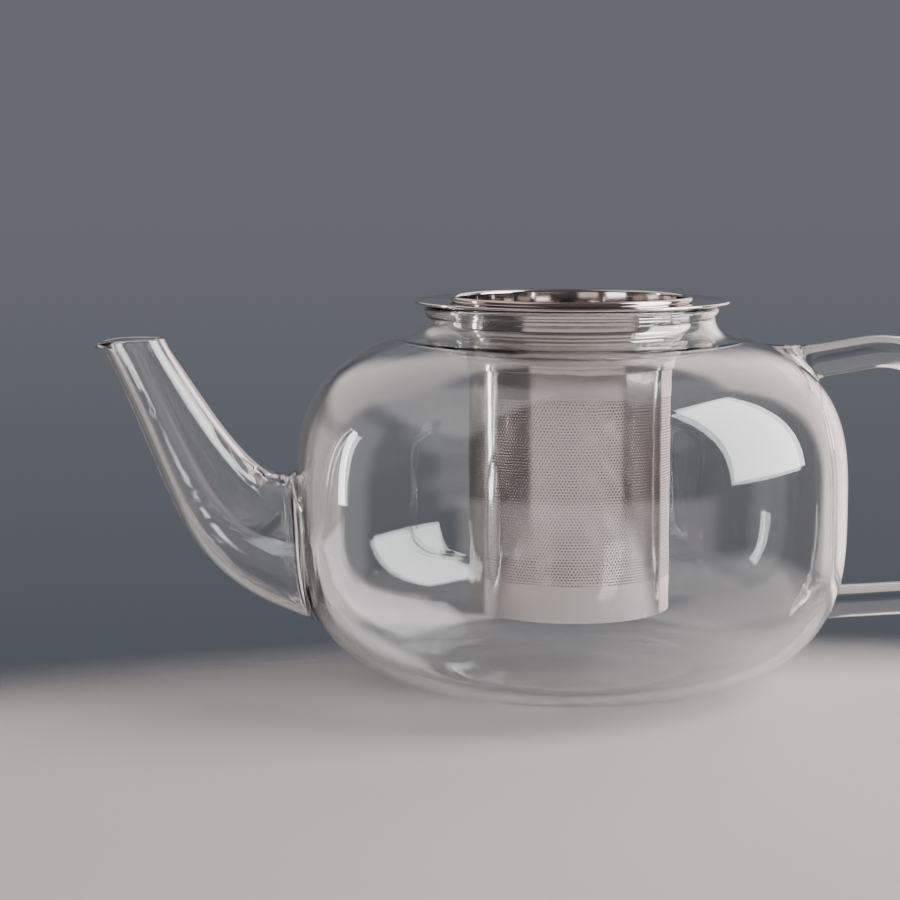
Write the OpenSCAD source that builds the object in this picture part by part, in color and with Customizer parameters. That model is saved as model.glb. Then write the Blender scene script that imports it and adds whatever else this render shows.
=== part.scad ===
// Glass teapot with a lift-out steel infuser.
// Millimetres. Z is up and z = 0 is the flat foot. The bowl's axis is the Z axis.
// The spout points to -X and the handle to +X.

/* [Bowl] */
// Greatest outer radius of the bowl
bowl_r = 84; // [70:1:95]
// Height of the widest point above the foot
waist_z = 54.6; // [45:0.1:65]
// Height of the shoulder's crown above the widest point
crown_h = 55; // [48:0.5:60]
// Depth of the rounded underside below the widest point, before the foot cuts it flat
keel_h = 56.5; // [55:0.5:62]
// Squareness of the bowl's outline, where 2 is an ellipse
squareness = 3.1; // [2.4:0.1:3.6]
// Thickness of the bowl's wall
bowl_wall = 2.5; // [1.8:0.1:3.5]
// Thickness of the glass under the foot
foot_wall = 3.5; // [2.5:0.1:5]

/* [Neck] */
// Outer radius of the neck at its narrowest
neck_r = 43.6; // [40:0.1:46]
// Height of the narrowest point of the neck
neck_z = 111; // [109:0.5:112]
// Outer radius of the lip
lip_r = 44.6; // [43:0.1:48]
// Height of the top of the lip
lip_z = 114.7; // [113:0.1:116]
// Thickness of the neck's wall
neck_wall = 2.6; // [2:0.1:3.2]

/* [Spout] */
// Diameter of the spout at its mouth
mouth_d = 17.2; // [14:0.1:22]
// Height of the middle of the mouth
mouth_z = 105.5; // [98:0.5:108]
// Slope of the mouth, in degrees, where 0 is a level cut and more lowers its front edge
mouth_tilt = 3.5; // [0:0.5:8]
// Height of the oval that the spout starts from
root_h = 46.5; // [42:0.5:50]
// Width of the oval that the spout starts from
root_w = 36; // [30:0.5:40]
// How quickly the spout narrows at first, where 1 is an even taper
taper_power = 1.18; // [1:0.02:1.6]
// Thickness of the spout's wall
spout_wall = 2; // [1.5:0.1:2.4]
// How far the drip lip stands out
drip_out = 1.9; // [0:0.1:4]

/* [Handle] */
// Diameter of the handle's glass rod
rod_d = 10.5; // [8:0.5:12]
// Radius of the handle's upper bend
upper_bend = 30; // [26:0.5:32]
// Radius of the handle's long back
back_bend = 85; // [75:1:90]
// Radius of the handle's lower bend
lower_bend = 19; // [17:0.5:21]

/* [Infuser] */
// Outer radius of the brim
brim_r = 47.8; // [46:0.1:50]
// Thickness of the brim's sheet
brim_t = 0.8; // [0.6:0.1:1]
// Outer radius of the collar
collar_r = 35.7; // [34.5:0.1:36.5]
// Thickness of the collar's sheet
collar_t = 0.8; // [0.6:0.1:1]
// Height of the collar's rolled top edge
collar_z = 117.6; // [117:0.1:119]
// Outer radius of the perforated basket
basket_r = 30.7; // [28:0.1:31]
// Thickness of the basket's sheet
basket_t = 0.5; // [0.4:0.1:0.8]
// Height of the basket's lowest edge above the foot
basket_z = 22.3; // [15:0.1:30]

/* [Hidden] */
$fn = 96;

// Steps along each curved outline, and rings and sides of the two swept pieces.
outline_steps = 22;
spout_steps = 22;
spout_sides = 32;
bend_steps = 14;
rod_sides = 20;

// How far the welded ends of the spout and the handle sink into the bowl's wall.
weld_depth = 0.8;

// Heights where the outside and the inside of the neck leave the shoulder.
neck_start_z = 105;
throat_start_z = 103.6;
// Height where the inside of the neck becomes straight, and the radius of the lip's two corners.
throat_z = 108;
lip_round = 1.2;
// Steps along each short curve.
curve_steps = 6;

// The oval hole under the spout.
hole_w = 26;
hole_h = 36;
hole_z = 41.5;
// How far outside the bowl's widest point the hole's cutter begins.
hole_reach = 5;

// The spout's centre line is one Bezier curve in the plane y = 0: [x, z] of its control points.
spout_path = [[-72.5, 42.2], [-103.5, 47], [-105, 53.3], [-132.6, 107]];
// The last regular ring is this far along the curve, from 0 to 1, and the mouth follows it.
spout_to = 0.9;
// The stretch of the curve in which every side of the tube leaves the bowl.
exit_range = [-0.1, 0.5];

// The handle's centre line leaves the shoulder at this [x, z, heading] and turns clockwise.
grip_start = [79.5, 97.4, 9];
grip_top = 12.5;
grip_turns = [91, 26, 70];
grip_foot = 21;
// Height and half-height of the two welds on the bowl.
shoulder_weld = [95.9, 5.9];
foot_weld = [22, 6.6];

// Heights where the collar's beads, band, taper and hem begin, from the top down.
bead_high_z = 108;
bead_low_z = 105.8;
band_z = 103.9;
taper_z = 100.8;
hem_z = 97.6;
foot_hem_z = 96.3;
// How far a bead stands out, and how far each stands in from the one above it.
bead_out = 0.7;
collar_step = 0.9;
// Height of the bend above the upper bead, and the radius of the rolled top edge.
bead_shoulder = 0.5;
roll_r = 0.9;
roll_steps = 18;
bead_steps = 8;

// The brim's underside at the collar, and how far its edge rises above that.
brim_z = 114.9;
brim_rise = 0.8;

// How far the basket's tube reaches up into the collar, and how deep its floor pan is.
socket_depth = 1.6;
pan_h = 5;

// Radius of the bowl's outline at height z, for a wall moved in by inset.
function bowl_radius(z, inset = 0) =
    let (reach = z > waist_z ? crown_h : keel_h,
         part = min(1, abs(z - waist_z) / (reach - inset)))
    (bowl_r - inset) * pow(1 - pow(part, squareness), 1 / squareness);

// Points of the bowl's outline from height low up to height high, close together near both ends.
function bowl_outline(low, high, inset = 0) =
    [for (i = [0 : outline_steps])
        let (z = (low + high) / 2 - (high - low) / 2 * cos(180 * i / outline_steps))
        [bowl_radius(z, inset), z]];

function reversed(list) = [for (i = [len(list) - 1 : -1 : 0]) list[i]];

// An arc about centre c, and a hollow quarter of an ellipse that leaves one point level and meets
// the other upright.
function arc(c, r, from, to, steps = curve_steps) =
    [for (i = [0 : steps])
        let (a = from + (to - from) * i / steps)
        [c.x + r * cos(a), c.y + r * sin(a)]];
function hollow(from, to, steps = curve_steps) =
    [for (i = [0 : steps])
        let (a = 90 * i / steps)
        [to.x + (from.x - to.x) * (1 - sin(a)), to.y + (from.y - to.y) * cos(a)]];

// The neck's flare from its narrowest point up to the lip's corner.
function lip_flare(top) =
    [for (i = [1 : curve_steps - 1])
        let (t = i / curve_steps)
        [neck_r + (lip_r - neck_r) * (1 - cos(180 * t)) / 2, neck_z + (top - neck_z) * t]];

// A point and the direction on the spout's centre line, for t from 0 to 1.
function spout_at(t) =
    pow(1 - t, 3) * spout_path[0] + 3 * pow(1 - t, 2) * t * spout_path[1]
    + 3 * (1 - t) * t * t * spout_path[2] + t * t * t * spout_path[3];
function spout_dir(t) =
    let (d = (1 - t) * (1 - t) * (spout_path[1] - spout_path[0])
             + 2 * (1 - t) * t * (spout_path[2] - spout_path[1])
             + t * t * (spout_path[3] - spout_path[2]))
    d / norm(d);

// Half the tube's height or width at t, where it starts at size root, moved in by inset.
function half_size(root, t, inset) =
    (mouth_d + (root - mouth_d) * pow(1 - t, taper_power)) / 2 - inset;

// The point at angle a round the tube, on the ring square to the centre line at t.
function ring_point(t, a, inset) =
    let (c = spout_at(t), d = spout_dir(t), h = half_size(root_h, t, inset) * cos(a))
    [c.x - d.y * h, half_size(root_w, t, inset) * sin(a), c.y + d.x * h];

// Where the line at angle a along the tube leaves the bowl's wall, found by halving.
function is_inside(p) = norm([p.x, p.y]) < bowl_radius(p.z) - weld_depth;
function exit_t(a, inset, low = exit_range[0], high = exit_range[1], halvings = 18) =
    let (mid = (low + high) / 2)
    halvings == 0 ? mid
    : is_inside(ring_point(mid, a, inset)) ? exit_t(a, inset, mid, high, halvings - 1)
    : exit_t(a, inset, low, mid, halvings - 1);

// The mouth is a flat cut, and its front edge reaches out into a drip lip.
function mouth_point(a, inset) =
    let (p = ring_point(1, a, inset), d = spout_dir(1), slope = tan(mouth_tilt),
         rise = mouth_z + (p.x - spout_path[3].x) * slope - p.z,
         s = rise / (d.y - d.x * slope),
         lip = drip_out * pow(max(0, cos(a)), 6))
    [p.x + d.x * s - lip, p.y, p.z + d.y * s];

// The lines along the tube, each cut into even steps, then turned into rings.
function spout_rings(inset) =
    let (angles = [for (k = [0 : spout_sides - 1]) 360 * k / spout_sides],
         starts = [for (a = angles) exit_t(a, inset)])
    concat(
        [for (i = [0 : spout_steps])
            [for (k = [0 : spout_sides - 1])
                let (t = starts[k] + (spout_to - starts[k]) * i / spout_steps)
                ring_point(t, angles[k], inset)]],
        [[for (a = angles) mouth_point(a, inset)]]);

// Places on the handle's centre line, as [x, z, heading]: further on, and round a bend.
function along(p, d) = [p.x + d * cos(p.z), p.y + d * sin(p.z), p.z];
function turned(p, r, a) =
    [p.x + r * (sin(p.z) - sin(p.z - a)), p.y - r * (cos(p.z) - cos(p.z - a)), p.z - a];
function bend(p, r, a) = [for (i = [0 : bend_steps]) turned(p, r, a * i / bend_steps)];

// A ring of the rod about place p, and a ring of its weld on the bowl at height z.
function rod_ring(p) =
    [for (k = [0 : rod_sides - 1])
        let (a = 360 * k / rod_sides, up = rod_d / 2 * cos(a))
        [p.x - sin(p.z) * up, rod_d / 2 * sin(a), p.y + cos(p.z) * up]];
function weld_ring(z, high, side) =
    [for (k = [0 : rod_sides - 1])
        let (a = 360 * k / rod_sides, up = z + side * high * cos(a), across = high * sin(a),
             r = bowl_radius(up) - weld_depth)
        [sqrt(r * r - across * across), across, up]];

// Faces between rings of n points each, joined end to end if closed.
function skin(n, count, closed) =
    [for (i = [0 : count - (closed ? 1 : 2)]) for (k = [0 : n - 1])
        let (a = i * n + k, b = i * n + (k + 1) % n,
             next = (i + 1) % count * n, c = next + (k + 1) % n, d = next + k)
        each [[a, b, c], [a, c, d]]];

// A rounded bead with its crest at radius r, between heights high and low, from the top down.
function bead(r, high, low) =
    [for (i = [0 : bead_steps])
        let (a = 180 * i / bead_steps)
        [r - bead_out + bead_out * sin(a), (high + low) / 2 + (high - low) / 2 * cos(a)]];

// How far the brim has risen above its flat part at radius r.
function brim_lift(r) = brim_rise * pow(max(0, r - lip_r) / (brim_r - lip_r), 2);

module glass_bowl() {
    inner_r = neck_r - neck_wall;
    corner_z = lip_z - lip_round;
    color("lightcyan", 0.4)
    difference() {
        rotate_extrude()
            polygon(concat(
                [[0, 0]],
                bowl_outline(0, neck_start_z),
                [for (i = [1 : curve_steps])
                    hollow([bowl_radius(neck_start_z), neck_start_z], [neck_r, neck_z])[i]],
                lip_flare(corner_z),
                arc([lip_r - lip_round, corner_z], lip_round, 0, 90),
                arc([inner_r + lip_round, corner_z], lip_round, 90, 180),
                [for (i = [curve_steps : -1 : 1])
                    hollow([bowl_radius(throat_start_z, bowl_wall), throat_start_z],
                           [inner_r, throat_z])[i]],
                reversed(bowl_outline(foot_wall, throat_start_z, bowl_wall)),
                [[0, foot_wall]]));
        spout_hole();
    }
}

// The oval way from the bowl into the spout.
module spout_hole() {
    straight = (hole_h - hole_w) / 2;
    translate([-bowl_r - hole_reach, 0, hole_z])
        rotate([0, 90, 0])
            linear_extrude(4 * hole_reach)
                union() {
                    square([2 * straight, hole_w], center = true);
                    for (side = [-1, 1])
                        translate([side * straight, 0])
                            circle(d = hole_w);
                }
}

module glass_spout() {
    rings = concat(spout_rings(0), reversed(spout_rings(spout_wall)));
    color("lightcyan", 0.4)
        polyhedron([for (ring = rings) each ring], skin(spout_sides, len(rings), true));
}

module glass_handle() {
    top = bend(along(grip_start, grip_top), upper_bend, grip_turns[0]);
    back = bend(top[bend_steps], back_bend, grip_turns[1]);
    low = bend(back[bend_steps], lower_bend, grip_turns[2]);
    end = along(low[bend_steps], grip_foot);
    places = concat([grip_start], top, [for (i = [1 : bend_steps]) back[i]],
                    [for (i = [1 : bend_steps]) low[i]], [end]);
    rings = concat([weld_ring(shoulder_weld[0], shoulder_weld[1], 1)],
                   [for (p = places) rod_ring(p)],
                   [weld_ring(foot_weld[0], foot_weld[1], -1)]);
    n = rod_sides;
    last = len(rings) * n;
    tips = [for (weld = [shoulder_weld, foot_weld]) [bowl_radius(weld[0]) - weld_depth, 0, weld[0]]];
    color("lightcyan", 0.4)
        polyhedron(
            concat([for (ring = rings) each ring], tips),
            concat(skin(n, len(rings), false),
                   [for (k = [0 : n - 1]) [last, (k + 1) % n, k]],
                   [for (k = [0 : n - 1]) [last + 1, last - n + k, last - n + (k + 1) % n]]));
}

module infuser_brim() {
    edge_r = brim_r - brim_t / 2;
    radii = concat([collar_r], [for (i = [0 : curve_steps]) lip_r + (edge_r - lip_r) * i / curve_steps]);
    under = [for (r = radii) [r, brim_z + brim_lift(r)]];
    above = [for (r = radii) [r, brim_z + brim_lift(r) + brim_t]];
    edge_z = brim_z + brim_lift(edge_r) + brim_t / 2;
    edge = arc([edge_r, edge_z], brim_t / 2, -90, 90);
    color("silver")
        rotate_extrude()
            polygon(concat(under, [for (i = [1 : curve_steps - 1]) edge[i]], reversed(above)));
}

module infuser_collar() {
    inner_r = collar_r - collar_t;
    low_r = collar_r - 2 * collar_step;
    hem_r = basket_r + collar_t;
    bend_z = bead_high_z + bead_shoulder;
    taper_curve = hollow([low_r - bead_out, taper_z], [hem_r, hem_z], bead_steps);
    color("silver")
        rotate_extrude()
            polygon(concat(
                arc([inner_r + roll_r, collar_z - roll_r], roll_r, 180, -90, roll_steps),
                [[collar_r, collar_z - 2 * roll_r], [collar_r, bend_z]],
                bead(collar_r, bead_high_z, bead_low_z),
                bead(collar_r - collar_step, bead_low_z, band_z),
                bead(low_r, band_z, taper_z),
                [for (i = [1 : bead_steps]) taper_curve[i]],
                [[hem_r, foot_hem_z], [basket_r, foot_hem_z], [basket_r, hem_z],
                 [low_r - bead_out - collar_t, taper_z],
                 [collar_r - bead_out - collar_t, bead_high_z], [inner_r, bend_z]]));
}

module infuser_wall() {
    top = foot_hem_z + socket_depth;
    color("silver")
        rotate_extrude()
            translate([basket_r - basket_t, basket_z])
                square([basket_t, top - basket_z]);
}

module infuser_floor() {
    pan_r = basket_r - basket_t;
    color("silver")
        difference() {
            translate([0, 0, basket_z])
                cylinder(h = pan_h, r = pan_r);
            translate([0, 0, basket_z + basket_t])
                cylinder(h = pan_h, r = pan_r - basket_t);
        }
}

glass_bowl();
glass_spout();
glass_handle();
infuser_brim();
infuser_collar();
infuser_wall();
infuser_floor();
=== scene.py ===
"""Looks for a glass teapot with a lift-out steel infuser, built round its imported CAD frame.

The scene is in metres, in the part's own frame: +Z up, the foot at z = 0, the bowl's axis on Z, the
spout towards -X and the handle towards +X. The pieces are worked out in millimetres.
"""

import math

import bpy
import bmesh
import numpy as np
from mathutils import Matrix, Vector, noise


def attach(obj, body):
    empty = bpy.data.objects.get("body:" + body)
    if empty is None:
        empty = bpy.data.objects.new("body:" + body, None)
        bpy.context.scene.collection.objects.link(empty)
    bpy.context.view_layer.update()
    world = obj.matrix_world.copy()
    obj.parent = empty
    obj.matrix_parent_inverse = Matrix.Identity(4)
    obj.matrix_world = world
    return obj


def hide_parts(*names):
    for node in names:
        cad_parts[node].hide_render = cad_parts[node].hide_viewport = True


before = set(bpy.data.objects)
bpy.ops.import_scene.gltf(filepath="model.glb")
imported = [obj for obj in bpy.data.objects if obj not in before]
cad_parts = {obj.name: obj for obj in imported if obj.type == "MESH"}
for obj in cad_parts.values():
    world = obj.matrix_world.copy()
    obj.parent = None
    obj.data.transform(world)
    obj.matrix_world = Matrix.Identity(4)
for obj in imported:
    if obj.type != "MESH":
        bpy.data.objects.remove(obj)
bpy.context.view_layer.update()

# One millimetre in metres.
MM = 0.001

# ---------------------------------------------------------------- sizes, in millimetres

# The bowl's outline is a squared ellipse about its waist, cut flat at the foot.
BOWL_R = 84.0
WAIST_Z = 54.6
CROWN_H = 55.0
KEEL_H = 56.5
SQUARENESS = 3.1
BOWL_WALL = 2.5
FOOT_WALL = 3.5
BOWL_AROUND = 288

# The foot's corner, outside and inside: how far in from it the flat ends and the bend begins, how
# high the bend reaches, and where the wall's own curve takes over.
FOOT_OUTSIDE = {"flat": 2.0, "bend": 1.5, "top": 0.7, "wall": 1.0}
FOOT_INSIDE = {"flat": 9.0, "bend": 7.0, "top": 5.9, "wall": 6.2}
FLAT_START = 6.0
FLAT_RINGS = 8

# How uneven the blown glass is: the most that its surface stands in, how much of that is even, in
# slow waves and in fine ones, and the size of the waves, level and upward.
BLOWN_MOST = 0.16
BLOWN_SHARES = (0.5, 0.42, 0.08)
SLOW_WAVE = (34.0, 54.4)
FINE_WAVE = (13.0, 40.0)
FINE_SEED = 7
INSIDE_SEED = 31.0
# It fades out over this height below the lip and over this radius about the axis.
FADE_Z = 12.0
FADE_R = 30.0

# The fine rings that turning the hot glass leaves near the foot and on the shoulder, and the
# heights over which they fade.
RINGS_H = 0.06
RINGS_WAVE = (55.0, 2.3)
RINGS_FOOT_Z = 34.0
RINGS_SHOULDER_Z = 80.0
RINGS_SHOULDER_FADE = 12.0
RINGS_NECK_FADE = 3.0

# The neck and its lip. Its outside and its inside leave the shoulder at the two START heights.
NECK_R = 43.6
NECK_Z = 111.0
NECK_WALL = 2.6
NECK_START_Z = 105.0
THROAT_START_Z = 102.4
LIP_R = 44.6
LIP_Z = 114.7
LIP_ROUND = 1.3
NECK_STEPS = 24
FLARE_STEPS = 11

# The spout's centre line is a Bezier curve in the plane y = 0, as [x, z].
SPOUT_PATH = np.array([[-72.5, 42.2], [-103.5, 47.0], [-105.0, 53.3], [-132.6, 107.0]])
MOUTH_D = 17.2
MOUTH_Z = 105.5
MOUTH_TILT = 3.5
ROOT_H = 46.5
ROOT_W = 36.0
TAPER_POWER = 1.18
SPOUT_WALL = 2.0
MOUTH_WALL = 1.3
SPOUT_AROUND = 96
SPOUT_STEPS = 84
# Its steps are closer together at the root, and past LEVELLING the lines are led to the mouth's cut.
SPOUT_CROWDING = 1.15
LEVELLING = 0.82

# The way from the bowl into the spout, and how far its cutter reaches out of and into the bowl's
# widest point. With an odd number of steps its points miss the bowl's own columns of points.
HOLE_W = 26.0
HOLE_H = 36.0
HOLE_Z = 41.5
HOLE_REACH = (-6.0, 16.0)
HOLE_STEPS = 41

# The spout's weld: a fillet this wide and this high round the root, and a fine ridge where it begins.
FILLET_REACH = 3.8
FILLET_H = 1.5
RIDGE_H = 0.3
RIDGE_W = 0.45
# The glass that gathers inside the bend, above the root.
GATHER_H = 1.3
GATHER_AT = 8.0
GATHER_W = 6.0
GATHER_LUMP = (3.5, 3.5)
# The drip lip curls over with this radius and by this much, in degrees. It is narrower round the
# mouth the higher CURL_POWER is.
CURL_R = 1.2
CURL_TURN = 140.0
CURL_POWER = 4
CURL_STEPS = 10

# The welded ends lie this far off the bowl's surface, so that no two surfaces cross.
WELD_GAP = 0.02

# The handle's centre line: where it starts, [x, z, heading], and its straights and bends.
GRIP_START = (79.5, 97.4, 9.0)
GRIP_RUN = ((12.5, 0), (30.0, 91.0), (85.0, 26.0), (19.0, 70.0), (21.0, 0))
GRIP_STEP = 1.6
ROD_R = 5.25
ROD_AROUND = 40
# The rod is thinner here and there by up to this share, in waves of this size.
SAG_MOST = 0.035
SAG_WAVE = (9.0, 9.0)
SAG_SEED = 3
# The two welds, as the height of their middle and their radius.
SHOULDER_WELD = (95.9, 5.9)
FOOT_WELD = (22.0, 6.6)
# A weld's rings on the bowl, then its edge there, all as shares of its radius. From the edge it
# rises by two guide points: a ring just above the bowl, and the rod's end carried on.
WELD_DISC = (0.06, 0.35, 0.7, 1.0)
WELD_EDGE = 1.28
WELD_GUIDE = (0.92, 0.4)
WELD_REACH = 4.5
WELD_STEPS = 14

# The infuser. From its rolled edge down to the bend above the upper bead, the collar's wall widens
# by COLLAR_LEAN. Each bead below the upper one stands in by another COLLAR_STEP.
STEEL_AROUND = 320
BRIM_R = 47.8
BRIM_T = 0.8
BRIM_Z = 114.9
BRIM_RISE = 0.8
COLLAR_R = 35.7
COLLAR_T = 0.8
COLLAR_LEAN = 0.30
COLLAR_BEND = 0.5
COLLAR_Z = 117.6
ROLL_R = 0.9
BEAD_HIGH_Z = 108.0
BEAD_LOW_Z = 105.8
BAND_Z = 103.9
TAPER_Z = 100.8
HEM_Z = 97.6
HEM_END_Z = 96.3
HEM_ROUND = 0.3
BEAD_OUT = 0.7
COLLAR_STEP = 0.9
BASKET_R = 30.7
BASKET_T = 0.5
BASKET_Z = 22.3
BASKET_TOP_Z = 97.9
PAN_H = 5.0
PAN_CORNER = 1.8
# The rings of the pan's flat begin at this radius and stop this far short of its corner.
PAN_FLAT_START = 4.0
PAN_FLAT_SHORT = 1.0

# The perforation: holes in each row, rows, the height of the lowest row, a hole's radius to its
# corners, and the height from row to row of a hexagonal pattern.
HOLES_ROUND = 192
HOLE_ROWS = 64
FIRST_ROW_Z = 33.9
HOLE_R = 0.32
ROW_RISE = 2 * math.pi * BASKET_R / HOLES_ROUND * math.sqrt(3) / 2

# ---------------------------------------------------------------- mesh helpers


def linked_object(name, data):
    """A new object for a mesh, a light or a camera, put in the scene."""
    obj = bpy.data.objects.new(name, data)
    bpy.context.scene.collection.objects.link(obj)
    return obj


def smooth(mesh, sharp_angle):
    """Shades the mesh smoothly, with edges sharper than sharp_angle, in degrees, kept crisp."""
    mesh.shade_smooth()
    mesh.set_sharp_from_angle(angle=math.radians(sharp_angle))


def smooth_object(name, mesh, sharp_angle):
    """A new smooth-shaded object for the mesh."""
    smooth(mesh, sharp_angle)
    return linked_object(name, mesh)


def apply_modifiers(obj):
    """Replaces the object's mesh with what its modifiers make of it."""
    graph = bpy.context.evaluated_depsgraph_get()
    made = bpy.data.meshes.new_from_object(obj.evaluated_get(graph))
    obj.modifiers.clear()
    obj.data = made


def tidy_mesh(mesh, merge=1e-7):
    """Merges doubled points, drops what has no area and turns every face outward."""
    bm = bmesh.new()
    bm.from_mesh(mesh)
    bmesh.ops.remove_doubles(bm, verts=bm.verts, dist=merge)
    bmesh.ops.dissolve_degenerate(bm, edges=bm.edges, dist=1e-8)
    bmesh.ops.recalc_face_normals(bm, faces=bm.faces)
    bm.to_mesh(mesh)
    bm.free()


def ring_mesh(name, rings, closed=True):
    """A mesh through rings of equally many points; closed joins the last ring to the first."""
    rings = np.asarray(rings, float)
    count, around = rings.shape[:2]
    faces = []
    for i in range(count if closed else count - 1):
        j = (i + 1) % count
        for k in range(around):
            m = (k + 1) % around
            faces.append((i * around + k, i * around + m, j * around + m, j * around + k))
    if not closed:
        faces.append(tuple(range(around - 1, -1, -1)))
        faces.append(tuple(range((count - 1) * around, count * around)))
    mesh = bpy.data.meshes.new(name)
    mesh.from_pydata((rings.reshape(-1, 3) * MM).tolist(), [], faces)
    tidy_mesh(mesh)
    return mesh


def revolve(name, outline, around=256, ripple=None):
    """A closed outline of [r, z] points, turned about the Z axis. ripple moves each point."""
    angles = np.arange(around) * 2 * math.pi / around
    rings = [[(r * math.cos(a), r * math.sin(a), z) for a in angles] for r, z in outline]
    if ripple is not None:
        rings = [[ripple(p) for p in ring] for ring in rings]
    return ring_mesh(name, rings)


def arc(centre, radius, start, end, steps=8):
    """Points on an arc about centre, from one angle to another, in degrees."""
    turns = np.radians(np.linspace(start, end, steps + 1))
    return [(centre[0] + radius * math.cos(a), centre[1] + radius * math.sin(a)) for a in turns]


def hollow(start, end, steps=18):
    """A hollow quarter of an ellipse that leaves start level and meets end upright."""
    turns = np.linspace(0, math.pi / 2, steps + 1)
    return [
        (end[0] + (start[0] - end[0]) * (1 - math.sin(a)), end[1] + (start[1] - end[1]) * math.cos(a))
        for a in turns
    ]


def bend_through(a, corner, b, steps=8):
    """A smooth bend from a to b that is pulled towards corner."""
    a, corner, b = (np.array(p, float) for p in (a, corner, b))
    return [
        tuple((1 - t) ** 2 * a + 2 * t * (1 - t) * corner + t * t * b)
        for t in np.linspace(0, 1, steps + 1)
    ]


def bezier(t, a, b, c, d):
    """The point at t of a Bezier curve from a to d, with b and c as its guide points."""
    s = 1 - t
    return s**3 * a + 3 * s * s * t * b + 3 * s * t * t * c + t**3 * d


def clamped(value):
    """The value, kept between 0 and 1."""
    return min(1.0, max(0.0, value))


def noise_at(point, wave, seed=0.0):
    """Smooth noise at a point, with waves of the given size, level and upward."""
    x, y, z = point
    return noise.noise(Vector((x / wave[0], y / wave[0], z / wave[1] + seed)))


# ---------------------------------------------------------------- the glass


def bowl_radius(z, inset=0.0):
    """Radius of the bowl's outline at height z, for a wall moved in by inset."""
    reach = CROWN_H if z > WAIST_Z else KEEL_H
    part = clamped(abs(z - WAIST_Z) / (reach - inset))
    return (BOWL_R - inset) * (1 - part**SQUARENESS) ** (1 / SQUARENESS)


def bowl_outline(low, high, inset=0.0, steps=90):
    """Points of the bowl's outline from height low up to height high."""
    heights = (low + high) / 2 - (high - low) / 2 * np.cos(np.linspace(0, math.pi, steps + 1))
    return [(bowl_radius(z, inset), z) for z in heights]


def turning_rings(p, seed):
    """How deep the fine rings are at a point of the bowl."""
    foot = max(0.0, 1 - p[2] / RINGS_FOOT_Z)
    shoulder = clamped((p[2] - RINGS_SHOULDER_Z) / RINGS_SHOULDER_FADE)
    shoulder *= clamped((NECK_START_Z - p[2]) / RINGS_NECK_FADE)
    return RINGS_H * (foot + shoulder) * (0.5 + 0.5 * noise_at(p, RINGS_WAVE, seed))


def blown(p, seed):
    """Moves a point of blown glass inward a little, as uneven blowing leaves it."""
    x, y, z = p
    r = math.hypot(x, y)
    if r < 1e-6:
        return p
    even, slow, fine = BLOWN_SHARES
    waves = even + slow * noise_at(p, SLOW_WAVE, seed) + fine * noise_at(p, FINE_WAVE, seed + FINE_SEED)
    inward = BLOWN_MOST * waves + turning_rings(p, seed)
    fade = clamped((LIP_Z - z) / FADE_Z) * clamped(r / FADE_R)
    scale = 1 - inward * fade / r
    return (x * scale, y * scale, z)


def bowl_ripple(p):
    """The outside and the inside of the wall wander on their own, so the wall's thickness varies."""
    x, y, z = p
    inside = math.hypot(x, y) < bowl_radius(min(z, NECK_START_Z), BOWL_WALL / 2) and z > FOOT_WALL / 2
    return blown(p, INSIDE_SEED if inside else 0.0)


def spout_hole_cutter():
    """A prism with round ends that cuts the way from the bowl into the spout."""
    straight = (HOLE_H - HOLE_W) / 2
    top = arc((0, straight), HOLE_W / 2, 0, 180, HOLE_STEPS)
    low = arc((0, -straight), HOLE_W / 2, 180, 360, HOLE_STEPS)
    rings = [[(reach - BOWL_R, y, HOLE_Z + h) for y, h in top + low] for reach in HOLE_REACH]
    return linked_object("hole_cutter", ring_mesh("hole_cutter", rings, closed=False))


def foot_outline(z, inset, corner):
    """The foot's flat at height z, from its middle outward, and the bend up into the wall."""
    edge_r = bowl_radius(z, inset)
    top = corner["top"]
    flat = [(r, z) for r in np.linspace(FLAT_START, edge_r - corner["flat"], FLAT_RINGS)]
    bend = bend_through((edge_r - corner["bend"], z), (edge_r, z), (bowl_radius(top, inset), top))
    return [(0, z)] + flat + bend


def make_bowl():
    """The bowl, blown in one piece with its neck, lip and thick flat foot."""
    corner_z = LIP_Z - LIP_ROUND
    flare = [
        ((LIP_R - NECK_R) * (1 - math.cos(math.pi * t)) / 2, NECK_Z + (corner_z - NECK_Z) * t)
        for t in np.linspace(0, 1, FLARE_STEPS + 1)[1:-1]
    ]
    outer = foot_outline(0, 0.0, FOOT_OUTSIDE) + bowl_outline(FOOT_OUTSIDE["wall"], NECK_START_Z)
    outer += hollow((bowl_radius(NECK_START_Z), NECK_START_Z), (NECK_R, NECK_Z), NECK_STEPS)[1:]
    outer += [(NECK_R + out, z) for out, z in flare]
    lip = arc((LIP_R - LIP_ROUND, corner_z), LIP_ROUND, 0, 180, steps=20)
    inner_r = NECK_R - NECK_WALL
    throat_start = (bowl_radius(THROAT_START_Z, BOWL_WALL), THROAT_START_Z)
    inner = foot_outline(FOOT_WALL, BOWL_WALL, FOOT_INSIDE)
    inner += bowl_outline(FOOT_INSIDE["wall"], THROAT_START_Z, BOWL_WALL)
    inner += hollow(throat_start, (inner_r, NECK_Z), NECK_STEPS)[1:]
    inner += [(inner_r + out, z) for out, z in flare]
    bowl = linked_object("bowl", revolve("bowl", outer + lip + inner[::-1], BOWL_AROUND, bowl_ripple))
    cutter = spout_hole_cutter()
    cut = bowl.modifiers.new("hole", "BOOLEAN")
    cut.operation = "DIFFERENCE"
    cut.object = cutter
    cut.solver = "EXACT"
    apply_modifiers(bowl)
    bpy.data.objects.remove(cutter)
    tidy_mesh(bowl.data, merge=1e-6)
    smooth(bowl.data, sharp_angle=40)
    return bowl


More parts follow.
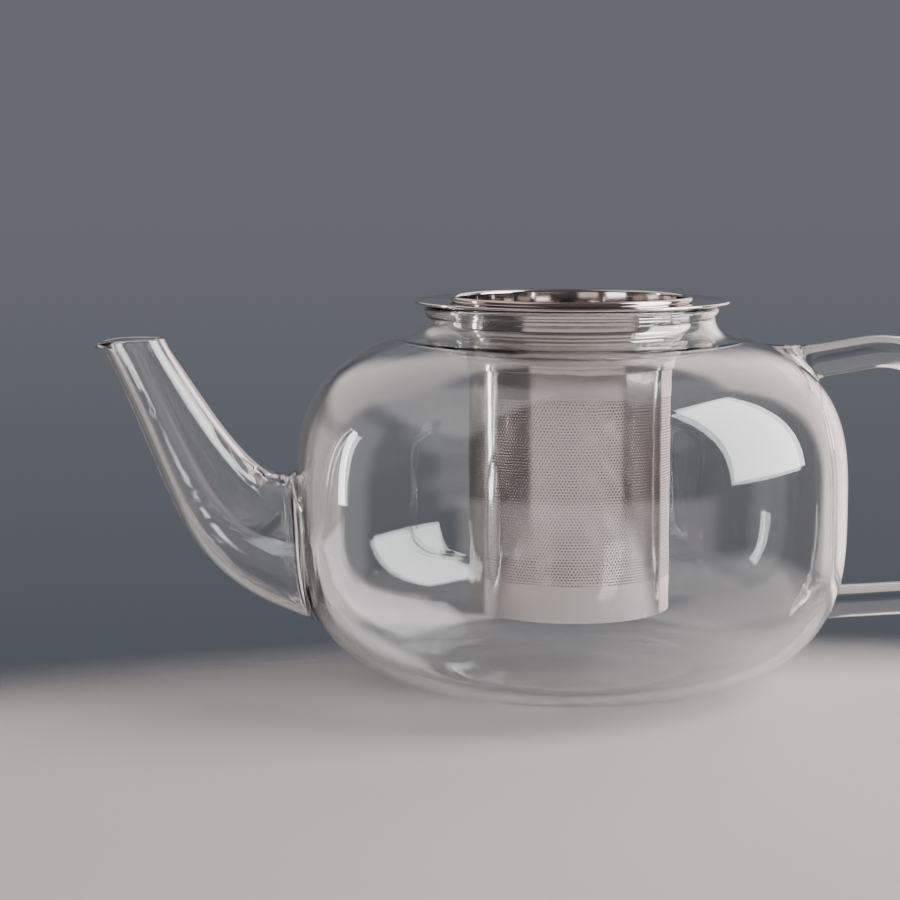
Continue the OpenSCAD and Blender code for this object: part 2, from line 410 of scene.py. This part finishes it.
def spout_at(t):
    """A point on the spout's centre line and the direction there, both as [x, z]."""
    a, b, c, d = SPOUT_PATH
    s = 1 - t
    way = s * s * (b - a) + 2 * s * t * (c - b) + t * t * (d - c)
    return bezier(t, a, b, c, d), way / np.linalg.norm(way)


def half_size(root, t, inset):
    """Half the tube's height or width at t, where root is its full size at the root."""
    return (MOUTH_D + (root - MOUTH_D) * (1 - t) ** TAPER_POWER) / 2 - inset


def tube_point(t, a, inset):
    """The point at angle a round the tube, on the ring square to the centre line at t."""
    c, d = spout_at(t)
    h = half_size(ROOT_H, t, inset) * math.cos(a)
    return np.array([c[0] - d[1] * h, half_size(ROOT_W, t, inset) * math.sin(a), c[1] + d[0] * h])


def outside_bowl(p):
    """How far a point stands outside the bowl's outline, measured level."""
    return math.hypot(p[0], p[1]) - bowl_radius(p[2])


def exit_t(a, inset, low=-0.1, high=0.5, halvings=24):
    """Where the line at angle a along the tube leaves the bowl's wall, found by halving."""
    for _ in range(halvings):
        mid = (low + high) / 2
        if outside_bowl(tube_point(mid, a, inset)) < WELD_GAP:
            low = mid
        else:
            high = mid
    return (low + high) / 2


def weld_height(gap):
    """How far the fillet and its ridge stand out from the tube, at a distance from the bowl."""
    fillet = FILLET_H * max(0.0, 1 - gap / FILLET_REACH) ** 3
    return fillet + RIDGE_H * math.exp(-(((gap - FILLET_REACH) / RIDGE_W) ** 2))


def gathered(p, a, gap):
    """How much thicker the wall is at a point of its inside, where glass gathers in the bend."""
    top = max(0.0, -math.cos(a)) ** 3
    lump = 0.75 + 0.5 * noise_at(p, GATHER_LUMP)
    return GATHER_H * top * lump * math.exp(-(((gap - GATHER_AT) / GATHER_W) ** 2))


def curl_at(a):
    """The drip lip's turn at angle a, in radians."""
    return math.radians(CURL_TURN) * max(0.0, math.cos(a)) ** CURL_POWER


def curl_rise(turn):
    """How far the curl rises above the place where it begins."""
    length = CURL_R * math.radians(CURL_TURN)
    if turn < 1e-3:
        return length
    return length / turn * (math.sin(turn) if turn < math.pi / 2 else 1.0)


def mouth_lift(a):
    """How far the end of the line at angle a is moved, to reach the mouth's cut less the curl."""
    end, way = tube_point(1, a, 0), spout_at(1)[1]
    slope = math.tan(math.radians(MOUTH_TILT))
    rise = MOUTH_Z - MOUTH_WALL / 2 + (end[0] - SPOUT_PATH[3][0]) * slope - end[2]
    return rise / (way[1] - way[0] * slope) - curl_rise(curl_at(a))


def mouth_way():
    """The centre line's direction at the mouth, as [x, y, z]."""
    way = spout_at(1)[1]
    return np.array([way[0], 0, way[1]])


def spout_line(a, start, inset):
    """The points of one line along the tube, from the bowl to where the lip begins."""
    points = []
    lift = mouth_lift(a) * mouth_way()
    for i in range(SPOUT_STEPS + 1):
        t = start + (1 - start) * (i / SPOUT_STEPS) ** SPOUT_CROWDING
        u = max(0.0, (t - LEVELLING) / (1 - LEVELLING))
        thin = inset - (SPOUT_WALL - MOUTH_WALL) * u * u * (1 if inset else 0)
        p = tube_point(t, a, thin)
        gap = max(0.0, outside_bowl(p) - WELD_GAP)
        change = gathered(p, a, gap) if inset else -weld_height(gap)
        points.append(tube_point(t, a, thin + change) + lift * u * u)
    return points


def lip_points(a, outside, inside):
    """The lip from the outside's last point, over the rim, to the inside's last point."""
    way = mouth_way()
    middle, half = (outside + inside) / 2, (outside - inside) / 2
    thick = np.linalg.norm(half)
    out = half / thick
    length, full = CURL_R * math.radians(CURL_TURN), curl_at(a)
    outer, inner = [], []
    for i in range(1, CURL_STEPS + 1):
        part = i / CURL_STEPS
        turn = max(1e-6, full * part)
        across = out * math.cos(turn) - way * math.sin(turn)
        along = out * math.sin(turn) + way * math.cos(turn)
        centre = middle + length * part / turn * (way * math.sin(turn) + out * (1 - math.cos(turn)))
        outer.append(centre + across * thick)
        inner.append(centre - across * thick)
    rim = [
        centre + thick * (across * math.cos(w) + along * math.sin(w))
        for w in np.linspace(0, math.pi, 9)[1:-1]
    ]
    return outer + rim + inner[::-1]


def make_spout():
    """The spout: a tapered tube with a fillet round its root and a curled drip lip."""
    lines = []
    for k in range(SPOUT_AROUND):
        a = 2 * math.pi * k / SPOUT_AROUND
        outside = spout_line(a, exit_t(a, 0), 0)
        inside = spout_line(a, exit_t(a, SPOUT_WALL), SPOUT_WALL)
        lines.append(outside + lip_points(a, outside[-1], inside[-1]) + inside[::-1])
    rings = np.swapaxes(np.array(lines), 0, 1)
    return smooth_object("spout", ring_mesh("spout", rings), sharp_angle=60)


def grip_places():
    """Places [x, z, heading] along the handle's centre line, about GRIP_STEP apart."""
    x, z, heading = GRIP_START
    places = [(x, z, heading)]
    for size, turn in GRIP_RUN:
        length = math.radians(turn) * size if turn else size
        count = max(2, round(length / GRIP_STEP))
        for _ in range(count):
            half = turn / count / 2
            way = math.radians(heading - half)
            chord = 2 * size * math.sin(math.radians(half)) if turn else size / count
            x, z, heading = x + chord * math.cos(way), z + chord * math.sin(way), heading - 2 * half
            places.append((x, z, heading))
    return places


def rod_ring(place):
    """A ring of the rod, square to its centre line."""
    x, z, heading = place
    way = math.radians(heading)
    ring = []
    for k in range(ROD_AROUND):
        a = 2 * math.pi * k / ROD_AROUND
        up = ROD_R * math.cos(a)
        ring.append((x - math.sin(way) * up, ROD_R * math.sin(a), z + math.cos(way) * up))
    return np.array(ring)


def weld_ring(weld, grow, way, above=WELD_GAP):
    """A ring of a weld, lying on the bowl's outside or a little above it. way is as in weld_rings."""
    ring = []
    for k in range(ROD_AROUND):
        a = 2 * math.pi * k / ROD_AROUND
        z = weld[0] + way * weld[1] * grow * math.cos(a)
        across = weld[1] * grow * math.sin(a)
        r = bowl_radius(z) + above
        ring.append((math.sqrt(r * r - across * across), across, z))
    return np.array(ring)


def weld_rings(weld, place, way):
    """Rings that flow from a weld on the bowl into the rod, like a drawn-out fillet.

    way is 1 where the rod leaves the bowl, and -1 where it comes back to it and its top is below.
    """
    heading = math.radians(place[2])
    along = np.array([math.cos(heading), 0, math.sin(heading)]) * way
    grow, above = WELD_GUIDE
    edge, guide = weld_ring(weld, WELD_EDGE, way), weld_ring(weld, grow, way, above)
    rod = rod_ring(place)
    disc = [weld_ring(weld, grow, way) for grow in WELD_DISC]
    turns = np.linspace(0, 1, WELD_STEPS + 1)[:-1]
    return disc + [bezier(t, edge, guide, rod - along * WELD_REACH, rod) for t in turns]


def make_handle():
    """The handle: one bent solid rod whose two ends are melted onto the bowl."""
    places = grip_places()
    start = weld_rings(SHOULDER_WELD, places[0], 1)
    end = weld_rings(FOOT_WELD, places[-1], -1)
    body = [rod_ring(p) for p in places]
    rings = np.array(start + body + end[::-1])
    for i, ring in enumerate(rings):
        centre = ring.mean(0)
        for k, p in enumerate(ring):
            sag = SAG_MOST * (0.5 + 0.5 * noise_at(p, SAG_WAVE, SAG_SEED))
            rings[i, k] = centre + (p - centre) * (1 - sag)
    return smooth_object("handle", ring_mesh("handle", rings, closed=False), sharp_angle=60)


# ---------------------------------------------------------------- the infuser


def brim_lift(r):
    """How far the brim has risen above its flat part at radius r."""
    return BRIM_RISE * (max(0.0, r - LIP_R) / (BRIM_R - LIP_R)) ** 2


def make_brim():
    """The brim: a dished ring of sheet with a rounded edge."""
    edge_r = BRIM_R - BRIM_T / 2
    radii = list(np.linspace(COLLAR_R, LIP_R, 12)) + list(np.linspace(LIP_R, edge_r, 16))[1:]
    under = [(r, BRIM_Z + brim_lift(r)) for r in radii]
    above = [(r, BRIM_Z + brim_lift(r) + BRIM_T) for r in radii]
    edge_z = BRIM_Z + brim_lift(edge_r) + BRIM_T / 2
    outline = under + arc((edge_r, edge_z), BRIM_T / 2, -90, 90, steps=10)[1:-1] + above[::-1]
    return smooth_object("brim", revolve("brim", outline, STEEL_AROUND), sharp_angle=50)


def bead(r, high, low, steps=16):
    """A rounded bead with its crest at radius r, from the top down."""
    turns = np.linspace(0, math.pi, steps + 1)
    middle, half = (high + low) / 2, (high - low) / 2
    return [(r - BEAD_OUT + BEAD_OUT * math.sin(a), middle + half * math.cos(a)) for a in turns]


def make_collar():
    """The collar: a tube formed on a spinning lathe, with a rolled top edge, two beads, a band, a taper
    and a hem.
    """
    inner_r = COLLAR_R - COLLAR_T
    low_r = COLLAR_R - 2 * COLLAR_STEP
    hem_r = BASKET_R + COLLAR_T
    wall_z, bend_z = COLLAR_Z - 2 * ROLL_R, BEAD_HIGH_Z + COLLAR_BEND
    wall = [(COLLAR_R + COLLAR_LEAN * t, wall_z + (bend_z - wall_z) * t) for t in np.linspace(0, 1, 8)]
    outline = arc((inner_r + ROLL_R, COLLAR_Z - ROLL_R), ROLL_R, 180, -90, steps=36) + wall
    outline += bead(COLLAR_R, BEAD_HIGH_Z, BEAD_LOW_Z)
    outline += bead(COLLAR_R - COLLAR_STEP, BEAD_LOW_Z, BAND_Z)[1:]
    outline += bead(low_r, BAND_Z, TAPER_Z)[1:]
    outline += hollow((low_r - BEAD_OUT, TAPER_Z), (hem_r, HEM_Z))[1:]
    outline += arc((hem_r - HEM_ROUND, HEM_END_Z + HEM_ROUND), HEM_ROUND, 0, -90, steps=6)
    outline += [(BASKET_R, HEM_END_Z), (BASKET_R, HEM_Z)]
    outline += [(low_r - BEAD_OUT - COLLAR_T, TAPER_Z), (COLLAR_R - BEAD_OUT - COLLAR_T, BEAD_HIGH_Z)]
    outline += [(inner_r, bend_z)]
    return smooth_object("collar", revolve("collar", outline, STEEL_AROUND), sharp_angle=35)


def make_pan():
    """The basket's floor: a pressed pan with a rounded corner, pushed into the tube."""
    r = BASKET_R - BASKET_T
    centre = (r - PAN_CORNER, BASKET_Z + PAN_CORNER)
    flat = [0.0, *np.linspace(PAN_FLAT_START, centre[0] - PAN_FLAT_SHORT, FLAT_RINGS)]
    outer = [(x, BASKET_Z) for x in flat] + arc(centre, PAN_CORNER, -90, 0, steps=10)
    outer += [(r, BASKET_Z + PAN_H)]
    inner = [(x, BASKET_Z + BASKET_T) for x in flat]
    inner += arc(centre, PAN_CORNER - BASKET_T, -90, 0, steps=10) + [(r - BASKET_T, BASKET_Z + PAN_H)]
    return smooth_object("basket_pan", revolve("basket_pan", outer + inner[::-1]), sharp_angle=50)


# A hole's corners run round from its upper right. These are its lower and its upper three, rightward.
HEX_UNDER = (3, 4, 5)
HEX_OVER = (2, 1, 0)


def hexagon_points(rows, radius):
    """Points [row, hole, corner] of every hole, where a row stands half a hole round from the last."""
    pitch = 2 * math.pi / HOLES_ROUND
    points = np.zeros((len(rows), HOLES_ROUND, 6, 3))
    for i, row in enumerate(rows):
        turn = (np.arange(HOLES_ROUND) + 0.5 * (row % 2)) * pitch
        for corner in range(6):
            a = math.radians(30 + 60 * corner)
            angle = turn + HOLE_R * math.cos(a) / BASKET_R
            points[i, :, corner, 0] = radius * np.cos(angle)
            points[i, :, corner, 1] = radius * np.sin(angle)
            points[i, :, corner, 2] = FIRST_ROW_Z + row * ROW_RISE + HOLE_R * math.sin(a)
    return points


def level_ring(like, z):
    """A ring at height z with a point above or below each of the given points."""
    ring = like.copy()
    ring[:, 2] = z
    return ring


def quads_between(low, high):
    """Quads between two rings of point numbers, seen with low below and the rings running right."""
    return np.stack([low, np.roll(low, -1, axis=-1), np.roll(high, -1, axis=-1), high], -1)


def sheet_between_holes(hole, rows):
    """Quads and triangles that fill the sheet between the holes, from their point numbers."""
    after = np.roll(hole, -1, axis=1)
    quads = [np.stack([hole[..., 5], after[..., 3], after[..., 2], hole[..., 0]], -1).reshape(-1, 4)]
    tris = []
    for i, row in enumerate(rows[:-1]):
        here, above = hole[i], hole[i + 1]
        right = np.roll(above, -1, axis=0) if row % 2 else above
        left = above if row % 2 else np.roll(above, 1, axis=0)
        quads.append(np.stack([here[:, 0], right[:, 4], right[:, 3], here[:, 1]], -1))
        quads.append(np.stack([here[:, 1], left[:, 5], left[:, 4], here[:, 2]], -1))
        tris.append(np.stack([here[:, 1], right[:, 3], left[:, 5]], -1))
        tris.append(np.stack([here[:, 0], after[i][:, 2], right[:, 4]], -1))
    return quads, tris


def mesh_of(name, points, quads, tris):
    """A mesh of points in millimetres, with quads and triangles given as arrays of point numbers."""
    mesh = bpy.data.meshes.new(name)
    mesh.vertices.add(len(points))
    mesh.vertices.foreach_set("co", (points * MM).ravel())
    loops = np.concatenate([quads.ravel(), tris.ravel()])
    mesh.loops.add(len(loops))
    mesh.loops.foreach_set("vertex_index", loops.astype(np.int32))
    starts = np.concatenate([np.arange(len(quads)) * 4, quads.size + np.arange(len(tris)) * 3])
    mesh.polygons.add(len(starts))
    mesh.polygons.foreach_set("loop_start", starts.astype(np.int32))
    mesh.update(calc_edges=True)
    mesh.validate()
    return mesh


def basket_band(name, rows, low_z, high_z):
    """A closed piece of the basket's wall: rows of holes between two level edges."""
    sides = []
    for radius in (BASKET_R, BASKET_R - BASKET_T):
        holes = hexagon_points(rows, radius)
        low_edge = level_ring(holes[0][:, HEX_UNDER, :].reshape(-1, 3), low_z)
        high_edge = level_ring(holes[-1][:, HEX_OVER, :].reshape(-1, 3), high_z)
        sides.append(np.concatenate([holes.reshape(-1, 3), low_edge, high_edge]))
    size = len(sides[0])
    corners = len(rows) * HOLES_ROUND * 6
    hole = np.arange(corners).reshape(len(rows), HOLES_ROUND, 6)
    low_ring = corners + np.arange(3 * HOLES_ROUND)
    high_ring = low_ring + 3 * HOLES_ROUND
    quads, tris = sheet_between_holes(hole, rows)
    quads.append(quads_between(low_ring, hole[0][:, HEX_UNDER].ravel()))
    quads.append(quads_between(hole[-1][:, HEX_OVER].ravel(), high_ring))
    quads, tris = np.concatenate(quads), np.concatenate(tris)
    walls = [
        quads_between(hole, hole + size).reshape(-1, 4),
        quads_between(low_ring + size, low_ring),
        quads_between(high_ring, high_ring + size),
    ]
    all_quads = np.concatenate([quads, quads[:, ::-1] + size] + walls)
    all_tris = np.concatenate([tris, tris[:, ::-1] + size])
    mesh = mesh_of(name, np.concatenate(sides), all_quads, all_tris)
    return smooth_object(name, mesh, sharp_angle=30)


def make_basket():
    """The basket's wall in two pieces, the lower and the upper half of its holes."""
    half = HOLE_ROWS // 2
    middle_z = FIRST_ROW_Z + (half - 0.5) * ROW_RISE
    lower = basket_band("basket_lower", range(half), BASKET_Z, middle_z)
    upper = basket_band("basket_upper", range(half, HOLE_ROWS), middle_z, BASKET_TOP_Z)
    return lower, upper


# ---------------------------------------------------------------- materials


def new_material(name):
    """A material with nodes, together with its node tree and its Principled shader."""
    material = bpy.data.materials.new(name)
    material.use_nodes = True
    return material, material.node_tree, material.node_tree.nodes["Principled BSDF"]


def noise_node(tree, scale, detail, stretch=(1, 1, 1), seed=0.0):
    """A noise texture in the piece's own coordinates; its output is the noise's value."""
    place = tree.nodes.new("ShaderNodeTexCoord")
    move = tree.nodes.new("ShaderNodeMapping")
    move.inputs["Scale"].default_value = stretch
    move.inputs["Location"].default_value = (seed, seed, seed)
    texture = tree.nodes.new("ShaderNodeTexNoise")
    texture.inputs["Scale"].default_value = scale
    texture.inputs["Detail"].default_value = detail
    tree.links.new(place.outputs["Object"], move.inputs["Vector"])
    tree.links.new(move.outputs["Vector"], texture.inputs["Vector"])
    return texture.outputs["Fac"]


def mapped(tree, value, low, high, from_low=0.3, from_high=0.7):
    """The value spread over a new range. Noise lies mostly between 0.3 and 0.7."""
    node = tree.nodes.new("ShaderNodeMapRange")
    node.inputs["From Min"].default_value = from_low
    node.inputs["From Max"].default_value = from_high
    node.inputs["To Min"].default_value = low
    node.inputs["To Max"].default_value = high
    tree.links.new(value, node.inputs["Value"])
    return node.outputs["Result"]


def smooth_step(tree, value, start, end):
    """0 before start and 1 after end, with a smooth change between."""
    result = mapped(tree, value, 0.0, 1.0, start, end)
    result.node.interpolation_type = "SMOOTHSTEP"
    return result


def bumped(tree, value, distance, strength, under=None):
    """A bump from the value, as a normal, laid over another bump if one is given."""
    node = tree.nodes.new("ShaderNodeBump")
    node.inputs["Distance"].default_value = distance
    node.inputs["Strength"].default_value = strength
    tree.links.new(value, node.inputs["Height"])
    if under is not None:
        tree.links.new(under, node.inputs["Normal"])
    return node.outputs["Normal"]


def show_mixed(tree, amount, shader, clear_colour):
    """Makes the surface the shader where amount is 0, and see-through where it is 1."""
    clear = tree.nodes.new("ShaderNodeBsdfTransparent")
    clear.inputs["Color"].default_value = (*clear_colour, 1)
    mix = tree.nodes.new("ShaderNodeMixShader")
    tree.links.new(amount, mix.inputs["Fac"])
    tree.links.new(shader.outputs["BSDF"], mix.inputs[1])
    tree.links.new(clear.outputs["BSDF"], mix.inputs[2])
    tree.links.new(mix.outputs["Shader"], tree.nodes["Material Output"].inputs["Surface"])


GLASS_COLOUR = (0.985, 0.992, 0.99)
GLASS_IOR = 1.47
# A clear coat makes the window's reflections as strong as in the photo.
GLASS_COAT = 0.7
GLASS_COAT_IOR = 1.5
# What the glass lets through of the light that casts its shadow.
GLASS_SHADOW = (0.6, 0.61, 0.61)


def glass_material():
    """Clear fire-polished glass, with the slow waves and fine streaks that blowing leaves."""
    material, tree, shader = new_material("clear_glass")
    shader.inputs["Base Color"].default_value = (*GLASS_COLOUR, 1)
    shader.inputs["Transmission Weight"].default_value = 1.0
    shader.inputs["IOR"].default_value = GLASS_IOR
    shader.inputs["Roughness"].default_value = 0.0
    shader.inputs["Coat Weight"].default_value = GLASS_COAT
    shader.inputs["Coat IOR"].default_value = GLASS_COAT_IOR
    shader.inputs["Coat Roughness"].default_value = 0.0
    waves = noise_node(tree, scale=34, detail=1.5, stretch=(1, 1, 0.5))
    slow = bumped(tree, waves, distance=0.0012, strength=0.16)
    streaks = noise_node(tree, scale=150, detail=2, stretch=(1, 1, 0.25), seed=3.0)
    fine = bumped(tree, streaks, distance=0.0004, strength=0.06, under=slow)
    tree.links.new(fine, shader.inputs["Normal"])
    rays = tree.nodes.new("ShaderNodeLightPath")
    show_mixed(tree, rays.outputs["Is Shadow Ray"], shader, GLASS_SHADOW)
    return material


def steel_material(name, colour, rough_low, rough_high):
    """Stainless steel with faint cloudy wear and a slow ripple."""
    material, tree, shader = new_material(name)
    shader.inputs["Metallic"].default_value = 1.0
    shader.inputs["Base Color"].default_value = (*colour, 1)
    cloud = noise_node(tree, scale=55, detail=4, stretch=(1, 1, 1.6), seed=1.0)
    tree.links.new(mapped(tree, cloud, rough_low, rough_high), shader.inputs["Roughness"])
    waves = noise_node(tree, scale=70, detail=2, seed=5.0)
    tree.links.new(bumped(tree, waves, distance=0.0006, strength=0.05), shader.inputs["Normal"])
    return material


# Each steel is its colour and its lowest and highest roughness.
POLISHED = ((0.70, 0.665, 0.645), 0.04, 0.09)
PERFORATED = ((0.70, 0.66, 0.645), 0.06, 0.14)
# Painted shade: the collar's steel is the polished steel's colour darkened, for the shade that lies on
# the collar inside the glass neck.
SHADED_COLLAR_STEEL = ((0.58, 0.545, 0.525), 0.04, 0.09)

FLOOR_COLOUR = (0.58, 0.54, 0.525)
FLOOR_ROUGHNESS = 0.75
# The table top is an oval, [x, y] of its middle and its half sizes, in metres. Its edge is soft from
# the first of two shares of its size to the second. It lies a hair under the foot.
FLOOR_MIDDLE = (0.0, -0.15)
FLOOR_HALF = (0.34, 0.22)
FLOOR_EDGE = (0.66, 1.0)
FLOOR_DROP = 0.00005
FLOOR_AROUND = 96


def floor_material():
    """A pale matt table with a soft edge."""
    material, tree, shader = new_material("pale_table")
    shader.inputs["Base Color"].default_value = (*FLOOR_COLOUR, 1)
    shader.inputs["Roughness"].default_value = FLOOR_ROUGHNESS
    place = tree.nodes.new("ShaderNodeTexCoord")
    scale = tree.nodes.new("ShaderNodeMapping")
    scale.inputs["Scale"].default_value = (1 / FLOOR_HALF[0], 1 / FLOOR_HALF[1], 0)
    size = tree.nodes.new("ShaderNodeVectorMath")
    size.operation = "LENGTH"
    tree.links.new(place.outputs["Object"], scale.inputs["Vector"])
    tree.links.new(scale.outputs["Vector"], size.inputs[0])
    show_mixed(tree, smooth_step(tree, size.outputs["Value"], *FLOOR_EDGE), shader, (1, 1, 1))
    return material


# ---------------------------------------------------------------- camera, stage and light

# The camera stands at CAMERA_AT before it is turned round the pot by VIEW_TURN, in degrees, and
# looks down by CAMERA_DOWN. The lens and the sensor are in millimetres.
VIEW_TURN = -6.0
CAMERA_AT = (-0.0366, -0.6959, 0.157)
CAMERA_DOWN = 7.09
LENS = 92.0
SENSOR = 36.0


def make_camera():
    """The camera, at the photograph's height and angle, a little to the spout's side."""
    data = bpy.data.cameras.new("camera")
    data.lens = LENS
    data.sensor_width = SENSOR
    camera = linked_object("camera", data)
    turn = math.radians(VIEW_TURN)
    x, y, z = CAMERA_AT
    camera.location = (
        x * math.cos(turn) - y * math.sin(turn),
        x * math.sin(turn) + y * math.cos(turn),
        z,
    )
    camera.rotation_euler = (math.radians(90 - CAMERA_DOWN), 0, turn)
    bpy.context.scene.camera = camera


def make_floor():
    """An oval table top under the pot and in front of it."""
    mesh = bpy.data.meshes.new("table")
    turns = [2 * math.pi * k / FLOOR_AROUND for k in range(FLOOR_AROUND)]
    points = [(FLOOR_HALF[0] * math.cos(a), FLOOR_HALF[1] * math.sin(a), 0) for a in turns]
    mesh.from_pydata(points, [], [tuple(range(FLOOR_AROUND))])
    table = linked_object("table", mesh)
    table.location = (*FLOOR_MIDDLE, -FLOOR_DROP)
    mesh.materials.append(floor_material())


def softbox(name, place, target, size, watts):
    """A rectangular soft light at place that faces target, hidden from the camera itself."""
    data = bpy.data.lights.new(name, "AREA")
    data.shape = "RECTANGLE"
    data.size, data.size_y = size
    data.energy = watts
    light = linked_object(name, data)
    light.location = place
    way = Vector(target) - Vector(place)
    light.rotation_euler = way.to_track_quat("-Z", "Y").to_euler()
    light.visible_camera = False


def make_lights():
    """The window-like softboxes that show in the glass and the steel, placed in metres."""
    softbox(
        "key_right", place=(0.783, -0.136, 0.622), target=(0.0, 0.31, 0.57), size=(0.634, 1.035), watts=22
    )
    softbox("strip_left", place=(-0.84, 0.32, 0.15), target=(0, 0, 0.1), size=(0.065, 0.40), watts=1.2)


# The surroundings: an even studio grey, then soft patches laid over it one after the other. Each is
# its middle and half width round Z from +X, its lowest and highest elevation and how soft its edge
# is, all in degrees, and its colour.
STUDIO = (0.24, 0.215, 0.21)
PATCHES = {
    "ground": (0, 200, -100, -13.5, 3, (0.46, 0.43, 0.42)),
    "ceiling": (0, 200, 60, 100, 30, (0.50, 0.46, 0.45)),
    "front_high": (-90, 62, -1.6, 88, 5, (0.12, 0.106, 0.102)),
    "left_high": (178, 36, 36, 84, 8, (0.95, 0.87, 0.85)),
    "back_high": (84, 44, 34, 84, 10, (0.11, 0.112, 0.12)),
    "front_card": (-90, 60, -18, -1.6, 5, (0.92, 0.81, 0.785)),
    "left_front": (190, 26, -22, 34, 8, (0.09, 0.084, 0.084)),
    "left_side": (159, 11, -16, 26, 8, (0.62, 0.60, 0.59)),
    "right_low": (-6, 32, -30, 10, 10, (0.2, 0.18, 0.18)),
    "back_left": (122, 24, -27, 14, 8, (0.15, 0.140, 0.138)),
    "back_left_high": (118, 26, 15, 56, 8, (1.15, 1.02, 0.99)),
    "back_right": (49, 22, -14, 50, 6, (2.2, 1.83, 1.77)),
}
# The backdrop is one more patch, laid over them all, with a crisper lower edge. Its colour changes
# from low to high while the Z of the direction goes through BACKDROP_CHANGE.
BACKDROP = (84, 19, -27, 34, 12)
BACKDROP_LOW_SOFT = 1
BACKDROP_LOW = (0.078, 0.087, 0.106)
BACKDROP_HIGH = (0.142, 0.150, 0.170)
BACKDROP_CHANGE = (-0.24, -0.02)


def worked(tree, operation, first, second=0.0):
    """One step of arithmetic, whose inputs are sockets or plain numbers."""
    node = tree.nodes.new("ShaderNodeMath")
    node.operation = operation
    for socket, value in zip(node.inputs, (first, second)):
        if isinstance(value, (int, float)):
            socket.default_value = value
        else:
            tree.links.new(value, socket)
    return node.outputs["Value"]


def patch_shape(tree, direction, height, turn, half, low, high, soft, low_soft=None):
    """How much a direction belongs to a patch of the surroundings, from 0 to 1.

    height is the direction's elevation in radians, and the rest is as PATCHES has it. low_soft is
    how soft the lower edge is, where it differs from the others.
    """
    rotate = tree.nodes.new("ShaderNodeVectorRotate")
    rotate.rotation_type = "Z_AXIS"
    rotate.inputs["Angle"].default_value = -math.radians(turn)
    split = tree.nodes.new("ShaderNodeSeparateXYZ")
    tree.links.new(direction, rotate.inputs["Vector"])
    tree.links.new(rotate.outputs["Vector"], split.inputs["Vector"])
    side = worked(tree, "ABSOLUTE", worked(tree, "ARCTAN2", split.outputs["Y"], split.outputs["X"]))
    edge = soft / 2
    wide = smooth_step(tree, side, math.radians(half - edge), math.radians(half + edge))
    low_edge = (soft if low_soft is None else low_soft) / 2
    over = smooth_step(tree, height, math.radians(low - low_edge), math.radians(low + low_edge))
    under = smooth_step(tree, height, math.radians(high - edge), math.radians(high + edge))
    inside = worked(tree, "SUBTRACT", 1.0, wide)
    return worked(tree, "MULTIPLY", inside, worked(tree, "SUBTRACT", over, under))


def laid_over(tree, below, colour, amount):
    """A colour laid over what is below it."""
    node = tree.nodes.new("ShaderNodeMix")
    node.data_type = "RGBA"
    node.clamp_factor = True
    tree.links.new(amount, node.inputs["Factor"])
    # Sockets 6 and 7 are the two colours of a mix, and output 2 is its result as a colour.
    for socket, value in ((node.inputs[6], below), (node.inputs[7], colour)):
        if isinstance(value, tuple):
            socket.default_value = (*value, 1)
        else:
            tree.links.new(value, socket)
    return node.outputs[2]


def make_world():
    """A pale studio round the pot, with a dark grey-blue backdrop straight behind it."""
    world = bpy.data.worlds.new("studio")
    bpy.context.scene.world = world
    world.use_nodes = True
    tree = world.node_tree
    shade = tree.nodes["Background"]
    place = tree.nodes.new("ShaderNodeTexCoord")
    direction = place.outputs["Generated"]
    split = tree.nodes.new("ShaderNodeSeparateXYZ")
    tree.links.new(direction, split.inputs["Vector"])
    height = worked(tree, "ARCSINE", split.outputs["Z"])
    colour = STUDIO
    for *shape, patch in PATCHES.values():
        colour = laid_over(tree, colour, patch, patch_shape(tree, direction, height, *shape))
    ramp = tree.nodes.new("ShaderNodeValToRGB")
    low_stop, high_stop = ramp.color_ramp.elements
    low_stop.color, high_stop.color = (*BACKDROP_LOW, 1), (*BACKDROP_HIGH, 1)
    level = mapped(tree, split.outputs["Z"], 0.0, 1.0, *BACKDROP_CHANGE)
    tree.links.new(level, ramp.inputs["Fac"])
    amount = patch_shape(tree, direction, height, *BACKDROP, BACKDROP_LOW_SOFT)
    colour = laid_over(tree, colour, ramp.outputs["Color"], amount)
    tree.links.new(colour, shade.inputs["Color"])


# ---------------------------------------------------------------- putting it together


def finish_piece(piece, material, body, slot, *nodes):
    """Gives a piece its material and the body it rides on, and hides the CAD nodes it stands for; slot is
    not used.
    """
    piece.data.materials.clear()
    piece.data.materials.append(material)
    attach(piece, body)
    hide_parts(*nodes)


make_camera()
make_floor()
make_lights()
make_world()

glass = glass_material()
finish_piece(make_bowl(), glass, "pot", "clear_glass", "glass_bowl")
finish_piece(make_spout(), glass, "pot", "clear_glass", "glass_spout")
finish_piece(make_handle(), glass, "pot", "clear_glass", "glass_handle")

polished = steel_material("polished_steel", *POLISHED)
perforated = steel_material("perforated_steel", *PERFORATED)
# The collar gets the darkened copy of the polished steel, which carries painted shade.
shaded_collar_steel = steel_material("collar_steel_painted_shade", *SHADED_COLLAR_STEEL)
finish_piece(make_brim(), polished, "infuser", "polished_steel", "infuser_brim")
finish_piece(make_collar(), shaded_collar_steel, "infuser", "polished_steel", "infuser_collar")
finish_piece(make_pan(), polished, "infuser", "polished_steel", "infuser_floor")
for band in make_basket():
    finish_piece(band, perforated, "infuser", "perforated_steel", "infuser_wall")
